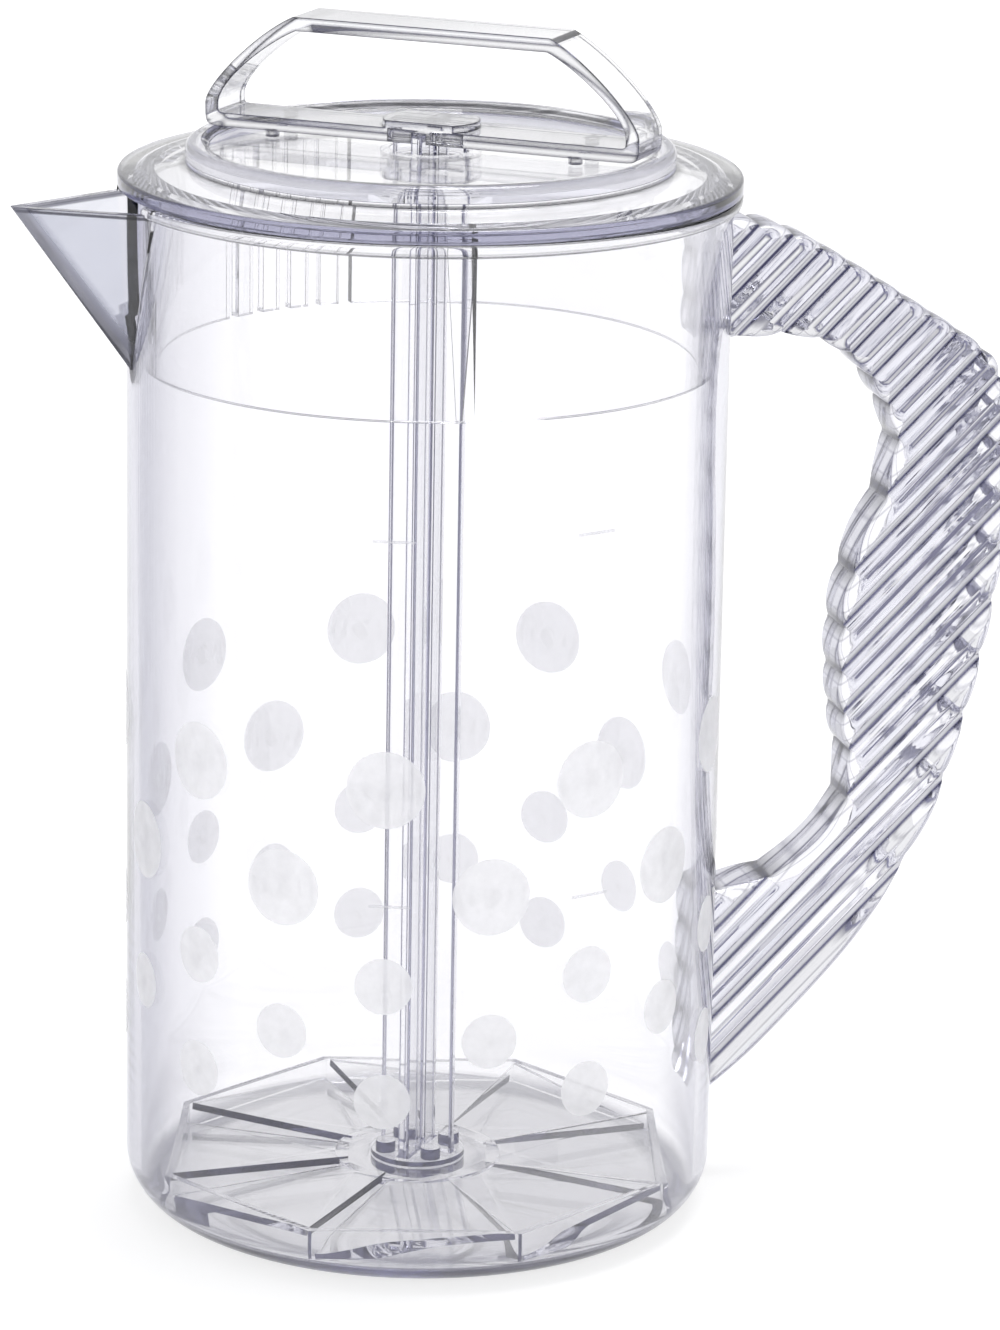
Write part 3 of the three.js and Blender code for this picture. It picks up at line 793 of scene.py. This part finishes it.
def scalar_step(tree, operation, source, operand=0, addend=0):
    step = tree.nodes.new("ShaderNodeMath")
    step.operation = operation
    tree.links.new(source, step.inputs[0])
    step.inputs[1].default_value = operand
    step.inputs[2].default_value = addend
    return step.outputs["Value"]


def add_up(tree, first, second):
    both = tree.nodes.new("ShaderNodeMath")
    tree.links.new(first, both.inputs[0])
    tree.links.new(second, both.inputs[1])
    return both.outputs["Value"]


def stretch(tree, source, none, full, strength=1):
    """Maps none..full to 0..strength and holds the ends."""
    mapped = tree.nodes.new("ShaderNodeMapRange")
    mapped.inputs["From Min"].default_value = none
    mapped.inputs["From Max"].default_value = full
    mapped.inputs["To Max"].default_value = strength
    tree.links.new(source, mapped.inputs["Value"])
    return mapped.outputs["Result"]


# Masks: each makes a function that adds nodes to a tree and gives the socket of a factor

def along_edges(width):
    """One along sharp edges, fading to zero over about half the width."""
    def build(tree):
        rounded = tree.nodes.new("ShaderNodeBevel")
        rounded.samples = 4
        rounded.inputs["Radius"].default_value = width
        surface = tree.nodes.new("ShaderNodeNewGeometry")
        likeness = tree.nodes.new("ShaderNodeVectorMath")
        likeness.operation = "DOT_PRODUCT"
        tree.links.new(rounded.outputs["Normal"], likeness.inputs[0])
        tree.links.new(surface.outputs["Normal"], likeness.inputs[1])
        return stretch(tree, likeness.outputs["Value"], *EDGE_LIKENESS)
    return build


def far_from(centre, weights, none, full, strength=1, middle=0):
    """Changes with the distance from a centre, measured with weighted axes.

    Where a middle is given, it changes with how far that distance is from the middle.
    """
    def build(tree):
        place_in = tree.nodes.new("ShaderNodeTexCoord").outputs["Object"]
        offset = vector_step(tree, "SUBTRACT", place_in, centre)
        reach = vector_step(tree, "LENGTH", vector_step(tree, "MULTIPLY", offset, weights), None)
        if middle:
            reach = scalar_step(tree, "ABSOLUTE", scalar_step(tree, "SUBTRACT", reach, middle))
        return stretch(tree, reach, none, full, strength)
    return build


def near_line(start, end, none, full, strength):
    """Grows towards a straight line that begins at its start."""
    direction = (Vector(end) - Vector(start)).normalized()

    def build(tree):
        place_in = tree.nodes.new("ShaderNodeTexCoord").outputs["Object"]
        offset = vector_step(tree, "SUBTRACT", place_in, start)
        beside = vector_step(tree, "LENGTH", vector_step(tree, "CROSS_PRODUCT", offset, direction), None)
        behind = scalar_step(tree, "MAXIMUM", vector_step(tree, "DOT_PRODUCT", offset, -direction))
        return stretch(tree, add_up(tree, beside, behind), none, full, strength)
    return build


def off_crest(tree):
    """How far a point of the handle is from the crest of its ridge: zero on it, one in the groove."""
    place_in = tree.nodes.new("ShaderNodeTexCoord").outputs["Object"]
    offset = vector_step(tree, "SUBTRACT", place_in, (HANDLE_CENTRE_X, 0, HANDLE_CENTRE_Z))
    across = vector_step(tree, "DOT_PRODUCT", offset, (math.sin(RIDGE_ANGLE), 0, -math.cos(RIDGE_ANGLE)))
    turns = scalar_step(tree, "MULTIPLY_ADD", across, 1 / RIDGE_SPACING, RIDGE_OFFSET / RIDGE_SPACING)
    from_groove = scalar_step(tree, "FRACT", turns)
    return scalar_step(tree, "ABSOLUTE", scalar_step(tree, "MULTIPLY_ADD", from_groove, 2, -1))


def ridge_shade_lines(tree):
    """Painted shade in fine dark lines along a ridge: one in the groove and a softer one on each flank."""
    ramp = tree.nodes.new("ShaderNodeValToRGB")
    elements = ramp.color_ramp.elements
    while len(elements) < len(RIDGE_STOPS):
        elements.new(1)
    for element, (position, level) in zip(elements, RIDGE_STOPS):
        element.position = position
        element.color = (level, level, level, 1)
    tree.links.new(off_crest(tree), ramp.inputs["Fac"])
    return ramp.outputs["Color"]


def shaded_narrow_sides(tree):
    """Painted shade on the handle's narrow sides, darkest where a groove runs out over them."""
    facing_in = tree.nodes.new("ShaderNodeTexCoord").outputs["Normal"]
    broad = scalar_step(tree, "ABSOLUTE", vector_step(tree, "DOT_PRODUCT", facing_in, (0, 1, 0)))
    bead = stretch(tree, off_crest(tree), *BEAD_RANGE)
    both = tree.nodes.new("ShaderNodeMath")
    both.operation = "MULTIPLY"
    tree.links.new(stretch(tree, broad, *SIDE_RANGE), both.inputs[0])
    tree.links.new(scalar_step(tree, "MULTIPLY_ADD", bead, BEAD_STRENGTH, SIDE_STRENGTH), both.inputs[1])
    return both.outputs["Value"]


def clear_plastic(name, face_tint, turned_tint, turned, density, masks=(), dull=None):
    """Clear plastic whose tint deepens where the surface turns away, and which takes each mask's colour
    under it, mostly painted shade.

    The last mask says where it is dull.
    """
    material, tree, shader = new_material(name)
    nodes, links = tree.nodes, tree.links
    place_in = nodes.new("ShaderNodeTexCoord").outputs["Object"]
    shader.inputs["Transmission Weight"].default_value = 1
    shader.inputs["IOR"].default_value = PLASTIC_IOR
    facing = nodes.new("ShaderNodeLayerWeight")
    facing.inputs["Blend"].default_value = 0.5
    ramp = nodes.new("ShaderNodeValToRGB")
    for element, position, colour in zip(ramp.color_ramp.elements, turned, (face_tint, turned_tint)):
        element.position = position
        element.color = colour
    links.new(facing.outputs["Facing"], ramp.inputs["Fac"])
    colour = ramp.outputs["Color"]
    for mask, tint in masks:
        colour = tint_towards(tree, colour, mask(tree), tint)
    links.new(colour, shader.inputs["Base Color"])
    wave = nodes.new("ShaderNodeTexNoise")
    wave.inputs["Scale"].default_value = WAVE_SCALE
    wave.inputs["Detail"].default_value = 1
    links.new(place_in, wave.inputs["Vector"])
    bump = nodes.new("ShaderNodeBump")
    bump.inputs["Strength"].default_value = 1
    bump.inputs["Distance"].default_value = WAVINESS
    links.new(wave.outputs["Fac"], bump.inputs["Height"])
    links.new(bump.outputs["Normal"], shader.inputs["Normal"])
    haze = nodes.new("ShaderNodeTexNoise")
    haze.inputs["Scale"].default_value = HAZE_SCALE
    haze.inputs["Detail"].default_value = 4
    links.new(place_in, haze.inputs["Vector"])
    spread = nodes.new("ShaderNodeMapRange")
    spread.inputs["From Min"].default_value, spread.inputs["From Max"].default_value = HAZE_RANGE
    spread.inputs["To Min"].default_value, spread.inputs["To Max"].default_value = ROUGHNESS_RANGE
    links.new(haze.outputs["Fac"], spread.inputs["Value"])
    roughness = spread.outputs["Result"]
    if dull:
        roughness = add_up(tree, roughness, dull(tree))
    links.new(roughness, shader.inputs["Roughness"])
    depth = nodes.new("ShaderNodeVolumeAbsorption")
    depth.inputs["Color"].default_value = ABSORPTION_TINT
    depth.inputs["Density"].default_value = density
    links.new(depth.outputs["Volume"], nodes["Material Output"].inputs["Volume"])
    return material


def frosting(name, light, dark, opacity, painted_glow):
    """Fine etched frosting: a soft grey-white that varies a little in tone and cover, with a painted glow of
    light of its own.
    """
    material, tree, shader = new_material(name)
    nodes, links = tree.nodes, tree.links
    place_in = nodes.new("ShaderNodeTexCoord")
    cloud = nodes.new("ShaderNodeTexNoise")
    cloud.inputs["Scale"].default_value = FROST_SCALE
    cloud.inputs["Detail"].default_value = 5
    links.new(place_in.outputs["Object"], cloud.inputs["Vector"])
    ramp = nodes.new("ShaderNodeValToRGB")
    for element, position, colour in zip(ramp.color_ramp.elements, FROST_RANGE, (dark, light)):
        element.position = position
        element.color = (*colour, 1)
    links.new(cloud.outputs["Fac"], ramp.inputs["Fac"])
    links.new(ramp.outputs["Color"], shader.inputs["Base Color"])
    cover = nodes.new("ShaderNodeMapRange")
    cover.inputs["From Min"].default_value, cover.inputs["From Max"].default_value = FROST_RANGE
    cover.inputs["To Min"].default_value, cover.inputs["To Max"].default_value = opacity
    links.new(cloud.outputs["Fac"], cover.inputs["Value"])
    links.new(cover.outputs["Result"], shader.inputs["Alpha"])
    grain = nodes.new("ShaderNodeTexNoise")
    grain.inputs["Scale"].default_value = FROST_GRAIN_SCALE
    links.new(place_in.outputs["Object"], grain.inputs["Vector"])
    bump = nodes.new("ShaderNodeBump")
    bump.inputs["Distance"].default_value = FROST_GRAIN
    links.new(grain.outputs["Fac"], bump.inputs["Height"])
    links.new(bump.outputs["Normal"], shader.inputs["Normal"])
    shader.inputs["Roughness"].default_value = 0.85
    shader.inputs["Specular IOR Level"].default_value = 0.2
    shader.inputs["Transmission Weight"].default_value = 0.6
    shader.inputs["IOR"].default_value = FROST_IOR
    # Painted light: a faint glow that brightens the frosting, though it is no lamp
    shader.inputs["Emission Color"].default_value = (1, 1, 1, 1)
    shader.inputs["Emission Strength"].default_value = painted_glow
    return material


def dress(piece, materials, body, node):
    """Gives a piece its materials, in its slots, and its body, and hides the CAD part that it stands for, if
    it stands for one.
    """
    for index, material in enumerate(materials):
        if index < len(piece.data.materials):
            piece.data.materials[index] = material
        else:
            piece.data.materials.append(material)
    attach(piece, body)
    if node:
        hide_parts(node)


# Floor, light and camera

FLOOR_SIZE = 16
FLOOR_DROP = 0.2 * MM
FLOOR_TONE = (0.42, 0.42, 0.42, 1)
FLOOR_GLOW = 0.74
SKY_STOPS = [(0.55, (1, 1, 1, 1)), (0.8, (0.32, 0.32, 0.37, 1))]
LIGHT_ENERGY = 1.7
LIGHT_LEAN = math.radians(12)
LIGHT_TURN = math.radians(30)
LIGHT_SPREAD = math.radians(30)


def floor():
    half = FLOOR_SIZE / 2
    corners = [(-half, -half), (half, -half), (half, half), (-half, half)]
    obj = mesh_object("floor", [(x, y, -FLOOR_DROP) for x, y in corners], [(0, 1, 2, 3)])
    material, tree, shader = new_material("floor")
    shader.inputs["Base Color"].default_value = FLOOR_TONE
    shader.inputs["Roughness"].default_value = 0.9
    shader.inputs["Specular IOR Level"].default_value = 0
    shader.inputs["Emission Color"].default_value = (1, 1, 1, 1)
    shader.inputs["Emission Strength"].default_value = FLOOR_GLOW
    obj.data.materials.append(material)


def world():
    """A white studio that gets darker overhead."""
    made = bpy.data.worlds.new("studio")
    made.use_nodes = True
    nodes, links = made.node_tree.nodes, made.node_tree.links
    place_in = nodes.new("ShaderNodeTexCoord")
    split = nodes.new("ShaderNodeSeparateXYZ")
    ramp = nodes.new("ShaderNodeValToRGB")
    for element, (position, colour) in zip(ramp.color_ramp.elements, SKY_STOPS):
        element.position = position
        element.color = colour
    links.new(place_in.outputs["Generated"], split.inputs["Vector"])
    links.new(split.outputs["Z"], ramp.inputs["Fac"])
    links.new(ramp.outputs["Color"], nodes["Background"].inputs["Color"])
    bpy.context.scene.world = made


def overhead_light():
    """A soft light overhead that leans a little to the back of the side handle."""
    data = bpy.data.lights.new("overhead", "SUN")
    data.energy = LIGHT_ENERGY
    data.angle = LIGHT_SPREAD
    obj = bpy.data.objects.new("overhead", data)
    obj.rotation_euler = Euler((0, LIGHT_LEAN, LIGHT_TURN))
    bpy.context.scene.collection.objects.link(obj)


CAMERA_TARGET = Vector((16.05 * MM, -4.3 * MM, 122.06 * MM))
CAMERA_AZIMUTH = math.radians(-15)
CAMERA_ELEVATION = math.radians(15.612)
CAMERA_ROLL = math.radians(1)
CAMERA_DISTANCE = 1.279
CAMERA_SENSOR = 36
CAMERA_LENS = 158.23


def camera():
    data = bpy.data.cameras.new("camera")
    data.sensor_width = CAMERA_SENSOR
    data.lens = CAMERA_LENS
    data.clip_start = 0.01
    data.clip_end = 100
    obj = bpy.data.objects.new("camera", data)
    bpy.context.scene.collection.objects.link(obj)
    level = math.cos(CAMERA_ELEVATION)
    across, towards = math.sin(CAMERA_AZIMUTH) * level, -math.cos(CAMERA_AZIMUTH) * level
    back = Vector((across, towards, math.sin(CAMERA_ELEVATION)))
    turn = (-back).to_track_quat("-Z", "Y").to_matrix().to_4x4() @ Matrix.Rotation(CAMERA_ROLL, 4, "Z")
    obj.matrix_world = Matrix.Translation(CAMERA_TARGET + back * CAMERA_DISTANCE) @ turn
    bpy.context.scene.camera = obj


# Where the painted shade lies, where the rim bead turns clear and where the keel is dull. A band or line
# gives where it starts, where it is full and, if not one, how strong it is. A line that goes round the axis
# also gives its middle

ORIGIN = (0, 0, 0)
ALONG_X, ALONG_Z, ABOUT_Z = (1, 0, 0), (0, 0, 1), (1, 1, 0)
EDGE_SHADE_LINE = 0.7 * MM
LOOP_EDGE_SHADE_LINE = 1.4 * MM

# The spout's painted shade, the bead of the rim, which turns clear, and the painted shadow line at the
# bead's foot
HANDLE_SIDE = (BODY_RADIUS, 0, 0)
SPOUT_BAND = (2 * BODY_RADIUS + 0.2 * MM, 2 * BODY_RADIUS + 1 * MM)
BEAD_FOOT = BODY_TOP - RIM_HEIGHT
BEAD_BAND = (BEAD_FOOT - 0.2 * MM, BEAD_FOOT + 0.2 * MM)
BEAD_SHADOW_LINE = (0.5 * MM, 0.2 * MM, 0.9, BEAD_FOOT + 0.1 * MM)

# The spout's keel, from its foot to its tip, with its painted shade, a darker band and a dark line along it,
# and where it is dull
KEEL = ((-BODY_RADIUS, 0, BODY_TOP - SPOUT_DEPTH), (-BODY_RADIUS - SPOUT_REACH, 0, BODY_TOP - SPOUT_DROP))
KEEL_SHADE_BAND = (6 * MM, 1 * MM, 0.6)
KEEL_SHADE_LINE = (1.1 * MM, 0.7 * MM, 0.9)
KEEL_DULLNESS = (5 * MM, 3.5 * MM, 0.4)

# The rounded foot's painted shade, a dark band placed by its distance from the middle of the mouth
MOUTH = (0, 0, BODY_TOP)
MOUTH_WEIGHTS = (1, 1, 0.707)
FOOT_SHADE_BAND = (169.9 * MM, 170.7 * MM, 0.75)

# Painted shade on the wall's far side, towards the spout, found by its distance from a point a long way to
# the right
FAR_REACH = 1
FAR_RIGHT = (0.97 * FAR_REACH, -0.26 * FAR_REACH, 0)
FAR_SIDE_SHADE = (FAR_REACH + 48 * MM, FAR_REACH + BODY_RADIUS, 0.22)

# The lid's painted shade: a darker band at its edge, a dark line round its dish and one at its shoulder
FLANGE_SHADE_BAND = (RIM_RADIUS - 1 * MM, RIM_RADIUS - 0.3 * MM)
DISH_SHADE_LINE = (0.5 * MM, 0.25 * MM, 0.9, LID_TOP_RADIUS - LID_RING_WIDTH + 0.7 * MM)
SHOULDER_SHADE_LINE = (0.35 * MM, 0.15 * MM, 0.8, LID_SHOULDER + 0.1 * MM)

# The body's masks lay painted shade, all but the second, which turns the rim bead clear
body_masks = [
    (far_from(HANDLE_SIDE, ALONG_X, *SPOUT_BAND), SPOUT_SHADE),
    (far_from(ORIGIN, ALONG_Z, *BEAD_BAND), CLEAR),
    (along_edges(EDGE_SHADE_LINE), PAINTED_SHADE_BLACK),
    (far_from(ORIGIN, ALONG_Z, *BEAD_SHADOW_LINE), PAINTED_SHADE_BLACK),
    (near_line(*KEEL, *KEEL_SHADE_BAND), LAVENDER),
    (near_line(*KEEL, *KEEL_SHADE_LINE), PAINTED_SHADE_BLACK),
    (far_from(MOUTH, MOUTH_WEIGHTS, *FOOT_SHADE_BAND), DEEP_LAVENDER),
    (far_from(FAR_RIGHT, ABOUT_Z, *FAR_SIDE_SHADE), LAVENDER),
]
# The handle's painted shade: dark lines along its ridges and darker narrow sides
handle_masks = [(ridge_shade_lines, DEEP_LAVENDER), (shaded_narrow_sides, PAINTED_SHADE_BLACK)]
lid_masks = [
    (far_from(ORIGIN, ABOUT_Z, *FLANGE_SHADE_BAND), LAVENDER),
    (far_from(ORIGIN, ABOUT_Z, *DISH_SHADE_LINE), PAINTED_SHADE_BLACK),
    (far_from(ORIGIN, ALONG_Z, *SHOULDER_SHADE_LINE), PAINTED_SHADE_BLACK),
]
# The loop's painted shade: dark lines along its sharp edges
loop_masks = [(along_edges(LOOP_EDGE_SHADE_LINE), PAINTED_SHADE_BLACK)]
dull_keel = near_line(*KEEL, *KEEL_DULLNESS)


# The scene

LIGHT_BOUNCES = 40
camera()
floor()
world()
overhead_light()
scene = bpy.context.scene
scene.view_settings.view_transform = "Standard"
for kind in ("max_bounces", "transmission_bounces", "glossy_bounces", "transparent_max_bounces"):
    setattr(scene.cycles, kind, LIGHT_BOUNCES)

body_plastic = clear_plastic(
    "body_plastic", PALE, LAVENDER, turned=(0.5, 1), density=20, masks=body_masks, dull=dull_keel)
handle_plastic = clear_plastic(
    "handle_plastic", CLEAR, LAVENDER, turned=(0.2, 0.9), density=20, masks=handle_masks)
lid_plastic = clear_plastic(
    "lid_plastic", CLEAR, DEEP_LAVENDER, turned=(0.85, 1), density=8, masks=lid_masks)
loop_plastic = clear_plastic(
    "loop_plastic", CLEAR, DEEP_LAVENDER, turned=(0.7, 1), density=16, masks=loop_masks)
rod_plastic = clear_plastic("rod_plastic", CLEAR, LAVENDER, turned=(0.45, 1), density=6)
# Painted shade on the rod's rounded edges: a grey-lavender plastic
rod_edge_shade_plastic = clear_plastic("rod_edge_shade_plastic", ROD_EDGE_SHADE, LAVENDER, turned=(0, 0.8), density=6)
disc_plastic = clear_plastic("disc_plastic", CLEAR, DEEP_LAVENDER, turned=(0.9, 1), density=8)
# Painted shade on the sides of the disc's boss and pegs: a lavender plastic, darker where it turns away
side_shade_plastic = clear_plastic("side_shade_plastic", LAVENDER, DEEP_LAVENDER, turned=(0, 0.8), density=16)
# Painted shade for the rounded edges, the lid's skirt foot and the blades' ends: a dark plastic, darker
# still where it turns away
edge_shade_plastic = clear_plastic("edge_shade_plastic", DEEP_LAVENDER, PAINTED_SHADE_BLACK, turned=(0, 0.6), density=20)
dot_frosting = frosting(
    "dot_frosting", light=(0.72, 0.72, 0.74), dark=(0.68, 0.68, 0.7), opacity=(0.54, 0.62), painted_glow=0.2)
mark_frosting = frosting(
    "mark_frosting", light=(0.75, 0.75, 0.79), dark=(0.68, 0.68, 0.73), opacity=(0.2, 0.35), painted_glow=0.1)

dress(pitcher_shell(), [body_plastic], "pitcher", "pitcher_body")
dress(ribbed_handle(), [handle_plastic], "pitcher", "side_handle")
dress(lid_shell(), [lid_plastic, edge_shade_plastic], "lid", "lid")
dress(plunger_loop(), [loop_plastic, edge_shade_plastic], "plunger", "plunger_handle")
dress(plunger_rod(), [rod_plastic, rod_edge_shade_plastic], "plunger", "plunger_rod")
dress(bladed_disc(), [disc_plastic, edge_shade_plastic, side_shade_plastic], "plunger", "mixing_disc")
dress(frosted_dots(), [dot_frosting], "pitcher", None)
dress(graduation_marks(), [mark_frosting], "pitcher", None)
